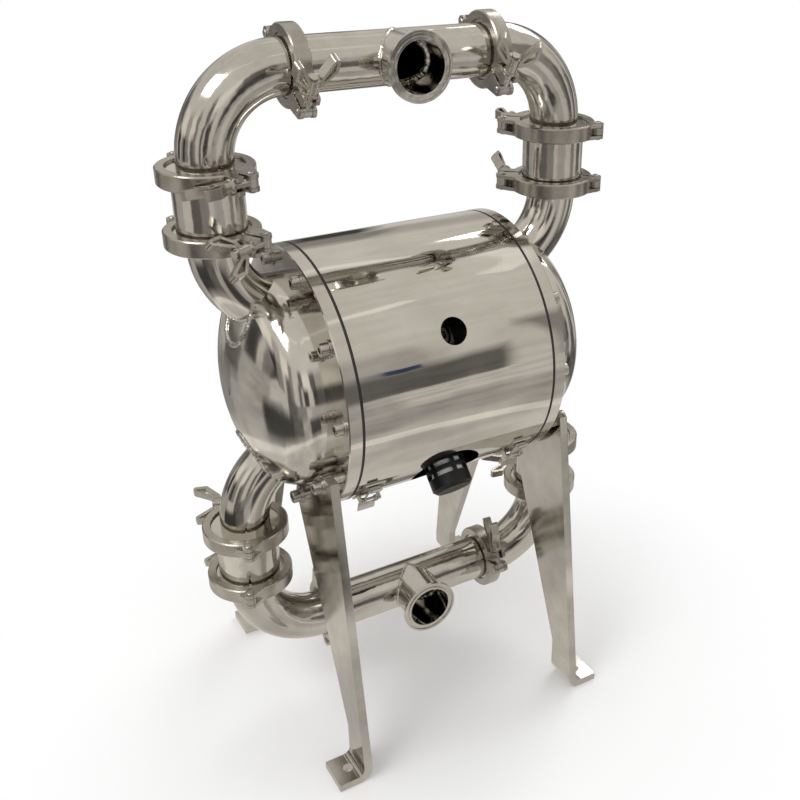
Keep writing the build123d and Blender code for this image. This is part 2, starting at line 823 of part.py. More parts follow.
def diaphragm():
    """Right diaphragm: clamped rim, one roll and a flat middle with the stud's hole."""
    rim_outer = body_radius - rim_inset
    middle = (roll_inner_radius + roll_outer_radius) / 2
    hole = stud_radius + plain_gap
    profile = (
        Polyline(
            (web_outer_x, roll_outer_radius),
            (web_outer_x, rim_outer),
            (chamber_half_width, rim_outer),
            (chamber_half_width, roll_outer_radius),
        )
        + ThreePointArc(
            (chamber_half_width, roll_outer_radius),
            (web_inner_x - roll_depth, middle),
            (web_inner_x, roll_inner_radius),
        )
        + Polyline(
            (web_inner_x, roll_inner_radius),
            (web_inner_x, hole),
            (web_outer_x, hole),
            (web_outer_x, roll_inner_radius),
        )
        + ThreePointArc(
            (web_outer_x, roll_inner_radius),
            (web_outer_x - roll_depth, middle),
            (web_outer_x, roll_outer_radius),
        )
    )
    disc = on_axis(revolve(Plane.XZ * make_face(profile), Axis.X))
    for angle in screw_angles:
        start = around_axis(angle, screw_circle_radius, chamber_half_width)
        end = around_axis(angle, screw_circle_radius, flange_inner_x)
        disc -= rod(start, end, screw_radius + screw_gap)
    return disc


def inner_plate():
    hole = stud_radius + pin_gap
    rise = inner_plate_thickness / 2
    profile = [
        (inner_plate_x, hole),
        (inner_plate_x, inner_plate_radius * 0.45),
        (inner_plate_x + rise, inner_plate_radius),
        (web_inner_x, inner_plate_radius),
        (web_inner_x, hole),
    ]
    return on_axis(turned(profile))


def outer_plate():
    """Domed plate on the liquid side, screwed onto the stud."""
    edge_x = web_outer_x + outer_plate_edge
    top_x = edge_x + outer_plate_crown
    stud_room = web_outer_x + stud_grip + 1.0
    hole = stud_radius + pin_gap
    sphere_radius = (outer_plate_radius**2 + outer_plate_crown**2) / (2 * outer_plate_crown)
    mid = asin(outer_plate_radius / sphere_radius) / 2
    crown_mid = (top_x - sphere_radius * (1 - cos(mid)), sphere_radius * sin(mid))
    profile = (
        Polyline(
            (stud_room, 0),
            (stud_room, hole),
            (web_outer_x, hole),
            (web_outer_x, outer_plate_radius),
            (edge_x, outer_plate_radius),
        )
        + ThreePointArc((edge_x, outer_plate_radius), crown_mid, (top_x, 0))
        + Line((top_x, 0), (stud_room, 0))
    )
    return on_axis(revolve(Plane.XZ * make_face(profile), Axis.X))


def socket_screw(radius, head_radius, head_height, length, flats, depth):
    """Socket head cap screw about Z, with the underside of its head on z = 0."""
    top = Cylinder(head_radius, head_height, align=bottom)
    top = chamfer(top.faces().sort_by(Axis.Z)[-1].edges(), head_radius * 0.1)
    hexagon = RegularPolygon(flats / 2, 6, major_radius=False)
    socket = extrude(Pos(0, 0, head_height) * hexagon, -depth)
    return top - socket + Pos(0, 0, -length) * Cylinder(radius, length, align=bottom)


def head_screws():
    """Short screws through each flange, and long ones that also hold the legs."""
    screws = []
    for seat_x, angles in screw_seats:
        under_head = seat_x + washer_thickness
        length = under_head - chamber_half_width + screw_grip
        screw = socket_screw(
            screw_radius, screw_head_radius, screw_head_height, length, socket_flats, socket_depth
        )
        for angle in angles:
            place = Plane(origin=around_axis(angle, screw_circle_radius, under_head), z_dir=x_plus)
            screws.append(place * screw)
    return screws + [to_left(screw) for screw in screws]


def screw_washers():
    ring = Cylinder(washer_radius, washer_thickness, align=bottom)
    ring -= Cylinder(screw_radius + plain_gap, washer_thickness, align=bottom)
    washers = []
    for seat_x, angles in screw_seats:
        for angle in angles:
            place = Plane(origin=around_axis(angle, screw_circle_radius, seat_x), z_dir=x_plus)
            washers.append(place * ring)
    return washers + [to_left(washer) for washer in washers]


def chamber_screws():
    screw = socket_screw(chamber_screw_radius, 5.0, 6.0, chamber_screw_length, 5.0, 3.0)
    screws = []
    for angle in chamber_screw_angles:
        place = Plane(origin=around_axis(angle, chamber_screw_circle, hub_outer_x), z_dir=x_plus)
        screws.append(place * screw)
    return screws + [to_left(one) for one in screws]


# ---- Shroud, air inlet and muffler ------------------------------------------


def shroud():
    """Polished wrap round the air side, open along one seam and round its two ports."""
    half = chamber_half_width - plain_gap
    wrap = rod((-half, 0, axis_height), (half, 0, axis_height), body_radius)
    wrap -= rod((-half, 0, axis_height), (half, 0, axis_height), body_radius - shroud_wall)
    wrap -= radial_plane(inlet_angle) * Cylinder(inlet_hole_radius, 2 * body_radius, align=bottom)
    wrap -= radial_plane(exhaust_angle) * Cylinder(exhaust_hole_radius, 2 * body_radius, align=bottom)
    seam = Box(2 * body_radius, seam_width, 2 * body_radius, align=bottom)
    return wrap - radial_plane(exhaust_angle) * seam


def air_inlet_fitting():
    """Hexagon adaptor screwed into the centre block, with the threaded air connection."""
    start = port_boss_reach
    hexagon = RegularPolygon(fitting_hex_flats / 2, 6, major_radius=False)
    fitting = radial_plane(inlet_angle, start) * extrude(hexagon, fitting_hex_height)
    tube = Cylinder(inlet_tube_radius, inlet_mouth_radius - start, align=bottom)
    fitting += radial_plane(inlet_angle, start) * tube
    bore = Cylinder(inlet_bore_radius, inlet_mouth_radius, align=bottom)
    return fitting - radial_plane(inlet_angle) * bore


def muffler_body():
    """Exhaust muffler: neck, slotted barrel and closed end."""
    length = muffler_end - muffler_start
    barrel = Cylinder(muffler_radius, length, align=bottom)
    barrel = chamfer(barrel.faces().sort_by(Axis.Z)[-1].edges(), muffler_end_chamfer)
    inside = Pos(0, 0, muffler_wall)
    inside *= Cylinder(element_radius + plain_gap, length - 2 * muffler_wall, align=bottom)
    barrel -= inside
    slot = Pos(muffler_radius, 0, 0) * Box(muffler_radius, slot_width, slot_height)
    for row in range(slot_rows):
        z = length - slot_from_end - row * slot_pitch
        for n in range(slots_per_row):
            barrel -= Pos(0, 0, z) * Rot(0, 0, n * 360 / slots_per_row) * slot
    neck_start = port_boss_reach - 14
    neck = Cylinder(muffler_neck_radius, muffler_start + muffler_wall - neck_start, align=bottom)
    neck -= Cylinder(muffler_neck_radius - muffler_wall, 2 * muffler_start, align=bottom)
    body = radial_plane(exhaust_angle, muffler_start) * barrel
    body -= radial_plane(exhaust_angle, muffler_start - 1) * Cylinder(
        muffler_neck_radius - muffler_wall, muffler_wall + 2, align=bottom
    )
    return body + radial_plane(exhaust_angle, neck_start) * neck


def muffler_element():
    """Porous sleeve behind the slots."""
    length = muffler_end - muffler_start - 2 * muffler_wall
    sleeve = Cylinder(element_radius, length, align=bottom)
    sleeve -= Cylinder(element_radius - muffler_wall, length, align=bottom)
    return radial_plane(exhaust_angle, muffler_start + muffler_wall) * sleeve


def curved_plate(side, low, high, width):
    """Thin plate bent to the shroud, between two distances from the seam."""
    inner = body_radius + seat_gap
    ring = rod((-width / 2, 0, axis_height), (width / 2, 0, axis_height), inner + latch_plate)
    ring -= rod((-width / 2, 0, axis_height), (width / 2, 0, axis_height), inner)
    window = Pos(0, (low + high) / 2, 0) * Box(width, high - low, body_radius, align=bottom)
    plate = ring & (radial_plane(exhaust_angle, body_radius / 2) * window)
    return Pos(side * latch_x, 0, 0) * plate


def latch_plane(side):
    """Frame on the shroud at the seam: x along X, y up round the shroud, z outward."""
    return radial_plane(exhaust_angle, body_radius, side * latch_x)


def latch_bases(side):
    """Base with its pin below the seam, and the keeper with its hook above it."""
    base = curved_plate(side, -6 - latch_base_length, -6, latch_width)
    keeper = curved_plate(side, 6, 6 + latch_keeper_length, latch_width)
    ear = hull_of(
        (-latch_pin_offset, latch_pin_height, latch_eye_radius),
        (-latch_pin_offset - 4, 1.5, 1),
        (-7.5, 1.5, 1),
    )
    ear_plate = extrude(Plane.YZ * ear, latch_plate)
    for x in (-latch_width / 2, latch_width / 2 - latch_plate):
        base += latch_plane(side) * (Pos(x, 0, 0) * ear_plate)
    half_pin = latch_width / 2 - latch_plate / 2
    start = (-half_pin, -latch_pin_offset, latch_pin_height)
    end = (half_pin, -latch_pin_offset, latch_pin_height)
    base += latch_plane(side) * rod(start, end, latch_pin_radius)
    hook_y = 6 + latch_keeper_length / 2
    hook = [
        (hook_y - 1, 0.6),
        (hook_y + 1, 0.6),
        (hook_y + 1, 4.5),
        (hook_y + 5, 4.5),
        (hook_y + 5, 6.2),
        (hook_y - 1, 6.2),
    ]
    hook_plate = extrude(Plane.YZ * make_face(Polyline(*hook, close=True)), latch_width / 4, both=True)
    keeper += latch_plane(side) * hook_plate
    return [base, keeper]


def latch_bail(side):
    """Wire loop from the base's pin over the keeper's hook."""
    arm_x = latch_width * 0.27
    pin_y = -latch_pin_offset
    z = latch_pin_height
    hook_y = 6 + latch_keeper_length / 2 + 1 + latch_wire_radius + 0.2
    hook_z = 3.0
    eye = rod((-1.2, 0, 0), (1.2, 0, 0), latch_eye_radius - 0.4)
    eye -= rod((-1.2, 0, 0), (1.2, 0, 0), latch_pin_radius + running_gap)
    loop = rod((-arm_x, hook_y, hook_z), (arm_x, hook_y, hook_z), latch_wire_radius)
    gap = latch_eye_radius - 1.0
    for way in (-1, 1):
        loop += Pos(way * arm_x, pin_y, z) * eye
        loop += rod((way * arm_x, pin_y + gap, z - 0.4), (way * arm_x, hook_y, hook_z), latch_wire_radius)
        loop += Pos(way * arm_x, hook_y, hook_z) * Sphere(latch_wire_radius)
    return latch_plane(side) * loop


def latch_lever(side):
    """Lever that turns on the base's pin and lies back along the base when shut."""
    pin_y = -latch_pin_offset
    cheek_x = latch_width / 2 - latch_plate - 0.4
    plate_z = latch_pin_height + latch_eye_radius
    outline = [
        (pin_y - latch_eye_radius, plate_z - latch_plate),
        (pin_y - latch_eye_radius, plate_z),
        (pin_y - latch_lever_length * 0.7, plate_z - 0.8),
        (pin_y - latch_lever_length, plate_z + 2.2),
        (pin_y - latch_lever_length, plate_z + 2.2 - latch_plate),
        (pin_y - latch_lever_length * 0.7, plate_z - 0.8 - latch_plate),
    ]
    lever = extrude(Plane.YZ * make_face(Polyline(*outline, close=True)), cheek_x, both=True)
    tail_y = pin_y - latch_lever_length * 0.65
    cheek = hull_of((pin_y, latch_pin_height, latch_eye_radius), (tail_y, plate_z - 2.4, 0.8))
    cheek_plate = extrude(Plane.YZ * cheek, latch_plate)
    for x in (-cheek_x, cheek_x - latch_plate):
        lever += Pos(x, 0, 0) * cheek_plate
    start = (-latch_width, pin_y, latch_pin_height)
    end = (latch_width, pin_y, latch_pin_height)
    lever -= rod(start, end, latch_pin_radius + running_gap)
    return latch_plane(side) * lever


# ---- Legs -------------------------------------------------------------------


def leg():
    """Rear right leg: flat gusset outside the flange, tapering to a foot bent outward."""
    upper = around_axis(leg_screw_angles[-1], screw_circle_radius, 0)
    lower = around_axis(leg_screw_angles[-2], screw_circle_radius, 0)
    upper_disc = (-upper[1], upper[2], leg_lobe_radius)
    lower_disc = (-lower[1], lower[2], leg_lobe_radius)
    bend_z = leg_thickness + leg_bend_inner
    back_y = leg_front_y - foot_width
    away = sqrt((back_y - lower_disc[0]) ** 2 + (lower_disc[1] - leg_knee_height) ** 2)
    turn = asin(leg_lobe_radius / away)
    slope = asin((back_y - lower_disc[0]) / away)
    touch_y = lower_disc[0] - leg_lobe_radius * cos(slope + turn)
    touch_z = lower_disc[1] - leg_lobe_radius * sin(slope + turn)
    outline = make_face(
        Polyline(
            leg_top_front,
            (leg_front_y, bend_z + 10),
            (leg_front_y, bend_z),
            (back_y, bend_z),
            (back_y, leg_knee_height),
            (touch_y, touch_z),
            (lower_disc[0], lower_disc[1]),
            (upper_disc[0], upper_disc[1]),
            (upper_disc[0] - 2, upper_disc[1] + leg_lobe_radius - 1),
            close=True,
        )
    )
    for y, z, radius in (upper_disc, lower_disc):
        outline += Pos(y, z) * Circle(radius)
    outline -= Pos(0, axis_height) * Circle(dome_skirt_radius + dome_gap)
    plate = Pos(leg_inner_x, 0, 0) * extrude(Plane.YZ * outline, leg_thickness)
    bend_x = leg_outer_x + leg_bend_inner
    heel = Plane.XZ * (
        Pos(bend_x, bend_z) * (Circle(leg_bend_inner + leg_thickness) - Circle(leg_bend_inner))
    )
    quarter = Plane.XZ * (
        Pos(bend_x, bend_z) * Rectangle(2 * bend_z, 2 * bend_z, align=(Align.MAX, Align.MAX))
    )
    foot = Plane.XZ * (
        Pos(bend_x, 0)
        * Rectangle(foot_reach_x - bend_x, leg_thickness, align=(Align.MIN, Align.MIN))
    )
    sole = extrude((heel & quarter) + foot, -foot_width)
    solid = plate + Pos(0, back_y, 0) * sole
    for angle in leg_screw_angles[-2:]:
        point = around_axis(angle, screw_circle_radius, 0)
        start = (leg_inner_x, -point[1], point[2])
        end = (leg_outer_x, -point[1], point[2])
        solid -= rod(start, end, screw_radius + screw_gap)
    hole = Pos(foot_hole_x, foot_hole_y, 0)
    return solid - hole * Cylinder(foot_hole_radius, 2 * bend_z, align=bottom)


def leg_spacers():
    ring = Cylinder(spacer_radius, leg_gap, align=bottom)
    ring -= Cylinder(screw_radius + screw_gap, leg_gap, align=bottom)
    rings = []
    for angle in leg_screw_angles:
        place = Plane(origin=around_axis(angle, screw_circle_radius, flange_outer_x), z_dir=x_plus)
        rings.append(place * ring)
    return rings + [to_left(one) for one in rings]


# ---- The whole pump ---------------------------------------------------------


def build():
    os.makedirs("parts", exist_ok=True)

    elbow = outer_elbow()
    tee = manifold_tee()
    save("upper_right_elbow", elbow)
    save("upper_left_elbow", to_left(elbow))
    save("lower_right_elbow", to_below(elbow))
    save("lower_left_elbow", to_left(to_below(elbow)))
    save("outlet_manifold", tee)
    save("inlet_manifold", to_below(tee))
    save("ferrule_gaskets", ferrule_gaskets())

    right_head = head()
    save("right_head", right_head)
    save("left_head", to_left(right_head))
    save("head_screws", head_screws())
    save("head_screw_washers", screw_washers())

    housing = valve_housing()
    seats = []
    for level, rise in housing_base_rises.items():
        for side, x in (("left", -riser_x), ("right", riser_x)):
            place = Pos(x, 0, axis_height + rise)
            save(f"{level}_{side}_valve_housing", place * housing)
            save(f"{level}_{side}_valve_ball", place * valve_ball())
            seats.append(place * valve_seat())
    save("valve_seats", seats)

    save_clamps()

    chamber = air_chamber()
    right_diaphragm = diaphragm()
    save("right_air_chamber", chamber)
    save("left_air_chamber", to_left(chamber))
    save("chamber_screws", chamber_screws())
    save("centre_block", centre_block())
    save("shaft_bushes", shaft_bushes())
    save("shaft_seals", shaft_seals())
    save("air_valve_sleeve", air_valve_sleeve())
    save("air_valve_spool", air_valve_spool())
    save("right_diaphragm", right_diaphragm)
    save("left_diaphragm", to_left(right_diaphragm))
    save("inner_diaphragm_plates", [inner_plate(), to_left(inner_plate())])
    save("outer_diaphragm_plates", [outer_plate(), to_left(outer_plate())])
    save("diaphragm_shaft", diaphragm_shaft())

    save("shroud", shroud())
    save("air_inlet_fitting", air_inlet_fitting())
    save("muffler_body", muffler_body())
    save("muffler_element", muffler_element())
    fixed = []
    for name, side in (("left", -1), ("right", 1)):
        fixed += latch_bases(side) + [latch_bail(side)]
        save(f"{name}_latch_lever", latch_lever(side))
    save("latch_plates", fixed)

    rear_right = leg()
    save("rear_right_leg", rear_right)
    save("rear_left_leg", to_left(rear_right))
    save("front_right_leg", to_front(rear_right))
    save("front_left_leg", to_left(to_front(rear_right)))
    save("leg_spacers", leg_spacers())


build()
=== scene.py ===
# %% [markdown]
# # Dressing a polished diaphragm pump
# The pump is already built as solids with real joints. This lesson gives it the finish
# that it has on the shop floor: mirror polished housing, hand polished pipe bends,
# tumbled clamps, satin legs and a black silencer.
# We begin by loading the solids as a frame that is never moved.

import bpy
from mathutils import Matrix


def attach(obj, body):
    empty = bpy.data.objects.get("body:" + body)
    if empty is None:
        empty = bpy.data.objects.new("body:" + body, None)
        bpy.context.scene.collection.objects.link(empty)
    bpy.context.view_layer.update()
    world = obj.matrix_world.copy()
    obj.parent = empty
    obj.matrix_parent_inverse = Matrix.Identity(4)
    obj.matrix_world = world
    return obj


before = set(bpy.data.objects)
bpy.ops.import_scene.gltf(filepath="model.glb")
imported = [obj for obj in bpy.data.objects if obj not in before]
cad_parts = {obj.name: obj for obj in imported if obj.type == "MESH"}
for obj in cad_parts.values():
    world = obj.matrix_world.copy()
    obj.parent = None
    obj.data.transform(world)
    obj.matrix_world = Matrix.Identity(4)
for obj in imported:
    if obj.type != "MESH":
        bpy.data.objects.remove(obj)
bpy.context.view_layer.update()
print("nodes loaded:", len(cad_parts))

# %% Blender's own modules and the size used all through the lesson
import bmesh
import bpy
import math
import random
from mathutils import Matrix, Vector

mm = 0.001
axis_height = 405.0 * mm
print("pump axis is", axis_height, "m above the floor")

# %% [markdown]
# ## The camera
# A catalogue picture of a tall pump is taken from the front left corner and a little
# above it, so that both ports, the round housing and one domed head all show. The
# camera is placed by its own position, heading and tilt, which is easier to repeat
# than aiming it at a target, and the sensor shift frames the pump off the lens axis.

# %% Set the camera at the front left corner
camera_place = Vector((-0.44733, -0.91035, 0.88746))
camera_heading = math.radians(33.26)
camera_tilt = math.radians(27.2)
camera_roll = math.radians(1.64)
focal_pixels = 1051.25
lens_centre = (517.94, 383.73)
frame_size = 800

camera_data = bpy.data.cameras.new("catalogue_camera")
camera_data.sensor_width = 36.0
camera_data.lens = camera_data.sensor_width * focal_pixels / frame_size
camera_data.shift_x = (frame_size / 2 - lens_centre[0]) / frame_size
camera_data.shift_y = (lens_centre[1] - frame_size / 2) / frame_size
camera_data.clip_start = 0.02
camera_data.clip_end = 100.0
camera = bpy.data.objects.new("catalogue_camera", camera_data)
bpy.context.scene.collection.objects.link(camera)
bpy.context.scene.camera = camera

level_right = Vector((math.cos(camera_heading), -math.sin(camera_heading), 0))
forward = Vector((
    math.sin(camera_heading) * math.cos(camera_tilt),
    math.cos(camera_heading) * math.cos(camera_tilt),
    -math.sin(camera_tilt),
))
level_up = level_right.cross(forward)
right = level_right * math.cos(camera_roll) + level_up * math.sin(camera_roll)
up = level_up * math.cos(camera_roll) - level_right * math.sin(camera_roll)
turn = Matrix((right, up, -forward)).transposed().to_4x4()
camera.matrix_world = Matrix.Translation(camera_place) @ turn
print("lens", round(camera_data.lens, 2), "mm")

# %% [markdown]
# ## Small helpers for node materials
# Every finish here is a small network of nodes. The helpers only save typing: one
# makes the material and hands back its shader, one adds a node with its settings and
# one joins two sockets. Values that are the same all over a surface are set on the
# shader itself.

# %% Helpers that build a finish from nodes
def new_finish(name, metallic, roughness):
    """Material with a Principled shader; returns the material, its nodes and the shader."""
    finish = bpy.data.materials.new(name)
    finish.use_nodes = True
    shader = finish.node_tree.nodes["Principled BSDF"]
    shader.inputs["Metallic"].default_value = metallic
    shader.inputs["Roughness"].default_value = roughness
    return finish, finish.node_tree, shader


def add(tree, kind, values=None, **settings):
    """Node of one kind with its settings, and starting values for its sockets."""
    node = tree.nodes.new("ShaderNode" + kind)
    for key, value in settings.items():
        setattr(node, key, value)
    for key, value in (values or {}).items():
        node.inputs[key].default_value = value
    return node


def join(tree, source, target):
    tree.links.new(source, target)


def place(tree, stretch=(1, 1, 1)):
    """Object coordinates in metres, stretched before a texture reads them."""
    coordinates = add(tree, "TexCoord")
    mapping = add(tree, "Mapping", {"Scale": stretch})
    join(tree, coordinates.outputs["Object"], mapping.inputs["Vector"])
    return mapping.outputs["Vector"]


def cloud(tree, where, scale, detail=2.0):
    """Soft noise from 0 to 1 with about `scale` blotches to the metre."""
    noise = add(tree, "TexNoise", {"Scale": scale, "Detail": detail})
    join(tree, where, noise.inputs["Vector"])
    return noise.outputs["Fac"]


def between(tree, amount, low, high, at=(0.3, 0.7)):
    """Number that runs from low to high as the amount crosses a range."""
    ramp = add(tree, "MapRange", {"From Min": at[0], "From Max": at[1],
                                  "To Min": low, "To Max": high})
    join(tree, amount, ramp.inputs["Value"])
    return ramp.outputs["Result"]


def tint(tree, amount, dark, light, at=(0.3, 0.7)):
    """Colour that runs from dark to light as the amount crosses a range."""
    ramp = add(tree, "ValToRGB")
    ramp.color_ramp.elements[0].position = at[0]
    ramp.color_ramp.elements[1].position = at[1]
    ramp.color_ramp.elements[0].color = (*dark, 1)
    ramp.color_ramp.elements[1].color = (*light, 1)
    join(tree, amount, ramp.inputs["Fac"])
    return ramp.outputs["Color"]


def relief(tree, shader, heights, edge=0.0):
    """Bump from a list of (height, depth in metres), over edges rounded by `edge`."""
    normal = None
    if edge:
        normal = add(tree, "Bevel", {"Radius": edge}, samples=4).outputs["Normal"]
    for height, depth in heights:
        bump = add(tree, "Bump", {"Strength": 1.0, "Distance": depth})
        join(tree, height, bump.inputs["Height"])
        if normal:
            join(tree, normal, bump.inputs["Normal"])
        normal = bump.outputs["Normal"]
    if normal:
        join(tree, normal, shader.inputs["Normal"])


print("helpers ready")

# %% [markdown]
# ## Mirror polished steel
# The housing and the heads are ground with finer and finer belts and then buffed on a
# mop. What is left is a mirror that is not quite flat: it is slightly wavy from the
# rolls, with hazy patches where the mop was lifted. A metal shader with a very low
# roughness gives the mirror, one slow noise bends it and another makes the haze.

# %% Make the mirror finish
def make_mirror(name, wave, haze):
    finish, tree, shader = new_finish(name, 1.0, 0.05)
    where = place(tree)
    slow = cloud(tree, where, 7.0)
    patches = cloud(tree, where, 22.0, 4.0)
    colour = tint(tree, patches, (0.60, 0.575, 0.53), (0.70, 0.68, 0.64))
    join(tree, colour, shader.inputs["Base Color"])
    join(tree, between(tree, patches, haze[0], haze[1]), shader.inputs["Roughness"])
    relief(tree, shader, [(slow, wave)])
    return finish


mirror_steel = make_mirror("mirror_steel", 0.0014, (0.025, 0.08))
buffed_steel = make_mirror("buffed_steel", 0.0020, (0.07, 0.15))
print("made", mirror_steel.name, "and", buffed_steel.name)

# %% [markdown]
# ## Hand polished pipe
# Pipe bends are polished by hand with a belt wrapped round them. They are as bright as
# the housing, yet the belt leaves faint lines and a little more haze.

# %% Make the pipe finish
def make_pipe():
    finish, tree, shader = new_finish("polished_tube", 1.0, 0.1)
    where = place(tree)
    patches = cloud(tree, where, 35.0, 4.0)
    colour = tint(tree, patches, (0.55, 0.53, 0.49), (0.66, 0.64, 0.60))
    join(tree, colour, shader.inputs["Base Color"])
    join(tree, between(tree, patches, 0.06, 0.16), shader.inputs["Roughness"])
    relief(tree, shader, [(cloud(tree, where, 40.0), 0.0006)], 0.0008)
    return finish


polished_tube = make_pipe()
print("made", polished_tube.name)

# %% [markdown]
# ## Cast clamps, satin plate and plain fasteners
# Investment cast clamps come out of the tumbler with a soft shine over a very fine
# orange peel. The legs are cut from plate with a satin grain. Screws are bright but
# not polished. One maker builds all three from a colour, a roughness range and a
# grain size, because they differ only in those.

# %% Make the grained steels
def make_grained(name, dark, light, rough, grain, depth, stretch=(1, 1, 1), edge=0.0006):
    finish, tree, shader = new_finish(name, 1.0, rough[0])
    where = place(tree, stretch)
    patches = cloud(tree, place(tree), 45.0, 4.0)
    fine = cloud(tree, where, grain, 3.0)
    join(tree, tint(tree, patches, dark, light), shader.inputs["Base Color"])
    join(tree, between(tree, patches, rough[0], rough[1]), shader.inputs["Roughness"])
    relief(tree, shader, [(fine, depth)], edge)
    return finish


cast_steel = make_grained("cast_steel", (0.40, 0.375, 0.335), (0.54, 0.51, 0.465),
                          (0.18, 0.28), 900.0, 0.00010)
satin_steel = make_grained("satin_steel", (0.54, 0.52, 0.48), (0.64, 0.62, 0.58),
                           (0.09, 0.18), 260.0, 0.00003, (6, 6, 1))
screw_steel = make_grained("screw_steel", (0.48, 0.46, 0.43), (0.60, 0.58, 0.54),
                           (0.20, 0.30), 1200.0, 0.00004)
aluminium = make_grained("aluminium", (0.62, 0.63, 0.64), (0.74, 0.75, 0.76),
                         (0.28, 0.38), 500.0, 0.00005)
bronze = make_grained("bronze", (0.50, 0.34, 0.16), (0.66, 0.48, 0.26),
                      (0.30, 0.42), 1500.0, 0.00006)
print("made", [m.name for m in (cast_steel, satin_steel, screw_steel, aluminium, bronze)])

# %% [markdown]
# ## Rubber, fluoropolymer, plastic and felt
# These are not metals, so light also enters them and their colour comes from inside.
# A fine grain keeps each from looking like plain paint. The black plastic of the
# silencer shines less than the rest.

# %% Make the soft and moulded finishes
def make_moulded(name, dark, light, rough, grain, depth, shine=0.5):
    finish, tree, shader = new_finish(name, 0.0, rough[0])
    shader.inputs["Specular IOR Level"].default_value = shine
    where = place(tree)
    patches = cloud(tree, where, 60.0, 3.0)
    join(tree, tint(tree, patches, dark, light), shader.inputs["Base Color"])
    join(tree, between(tree, patches, rough[0], rough[1]), shader.inputs["Roughness"])
    relief(tree, shader, [(cloud(tree, where, grain, 2.0), depth)], 0.0004)
    return finish


black_rubber = make_moulded("black_rubber", (0.012, 0.012, 0.012), (0.03, 0.03, 0.03),
                            (0.5, 0.65), 700.0, 0.00008)
ptfe = make_moulded("ptfe", (0.82, 0.82, 0.80), (0.90, 0.90, 0.88), (0.3, 0.4), 400.0, 0.00003)
black_plastic = make_moulded("black_plastic", (0.004, 0.004, 0.005), (0.010, 0.010, 0.011),
                             (0.30, 0.42), 1100.0, 0.00006, 0.28)
felt = make_moulded("felt", (0.78, 0.78, 0.76), (0.92, 0.92, 0.90), (0.85, 0.95), 1600.0, 0.0005)
print("made", [m.name for m in (black_rubber, ptfe, black_plastic, felt)])

# %% [markdown]
# ## Hand each solid its finish
# The solids keep their shape and get a finish by name. The words in a node's name say
# what it is, so a short table of words is enough to find the finish for all of them.

# %% Dress the solids
finish_of = {
    "shroud": mirror_steel,
    "head": buffed_steel,
    "elbow": polished_tube,
    "manifold": polished_tube,
    "valve_housing": polished_tube,
    "clamp_halves": cast_steel,
    "wing_nut": cast_steel,
    "clamp_pins": screw_steel,
    "clamp_swing_bolts": screw_steel,
    "head_screws": screw_steel,
    "head_screw_washers": screw_steel,
    "chamber_screws": screw_steel,
    "leg": satin_steel,
    "leg_spacers": satin_steel,
    "latch_lever": satin_steel,
    "latch_plates": satin_steel,
    "air_inlet_fitting": satin_steel,
    "diaphragm_shaft": satin_steel,
    "inner_diaphragm_plates": satin_steel,
    "outer_diaphragm_plates": satin_steel,
    "air_chamber": aluminium,
    "centre_block": aluminium,
    "air_valve_sleeve": aluminium,
    "air_valve_spool": satin_steel,
    "shaft_bushes": bronze,
    "diaphragm": black_rubber,
    "shaft_seals": black_rubber,
    "ferrule_gaskets": ptfe,
    "valve_ball": ptfe,
    "valve_seats": ptfe,
    "muffler_body": black_plastic,
    "muffler_element": felt,
}


def finish_for(node_name):
    """Finish of the longest entry in the table that ends the node's name."""
    fitting = [word for word in finish_of if node_name.endswith(word)]
    return finish_of[max(fitting, key=len)]


for node_name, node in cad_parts.items():
    node.data.materials.clear()
    node.data.materials.append(finish_for(node_name))
print("dressed", len(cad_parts), "solids")

# %% [markdown]
# ## Weld beads
# A pipe branch is welded on by hand and the bead is polished with the rest. It stays a
# little wrinkled, and that is where the reflections break up round each branch. The
# bead follows the line where two surfaces meet, so we work that line out from the pipe
# and dome sizes, and sweep a lumpy round section along it, sunk halfway into the steel.

# %% Sizes of the pipes and domes at the welds
pipe_radius = 25.4 * mm
manifold_rise = 303.0 * mm
neck_rise = 75.0 * mm
dome_base_x = 136.0 * mm
skirt_radius = 107.0 * mm
knuckle_radius = 32.0 * mm
crown_radius = 190.0 * mm
bead_radius = 3.0 * mm
bead_depth = 2.0 * mm
weld_steps = 160
bead_sides = 10
print("bead", bead_radius / mm, "mm in radius")


# %% Work out the lines of the welds
def dome_surface(y, z):
    """Distance along X and outward normal of the right dome at (y, z) from its axis."""
    reach = math.hypot(y, z)
    slope = math.asin((skirt_radius - knuckle_radius) / (crown_radius - knuckle_radius))
    centre_x = dome_base_x - (crown_radius - knuckle_radius) * math.cos(slope)
    if reach <= crown_radius * math.sin(slope):
        x = centre_x + math.sqrt(crown_radius**2 - reach**2)
        return x, Vector((x - centre_x, y, z)).normalized()
    out = (reach - skirt_radius + knuckle_radius) / knuckle_radius
    normal = Vector((math.sqrt(1 - out**2), out * y / reach, out * z / reach))
    return dome_base_x + knuckle_radius * normal.x, normal


def neck_weld(side, upward):
    """Points and mean normals of the weld between a dome and its elbow."""
    points = []
    for n in range(weld_steps):
        angle = 2 * math.pi * n / weld_steps
        y, z = pipe_radius * math.cos(angle), neck_rise + pipe_radius * math.sin(angle)
        x, normal = dome_surface(y, z)
        pipe_normal = Vector((0, math.cos(angle), math.sin(angle)))
        place_at = Vector((side * x, y, axis_height + upward * z))
        mean = (normal + pipe_normal) / 2
        points.append((place_at, Vector((side * mean.x, mean.y, upward * mean.z))))
    return points


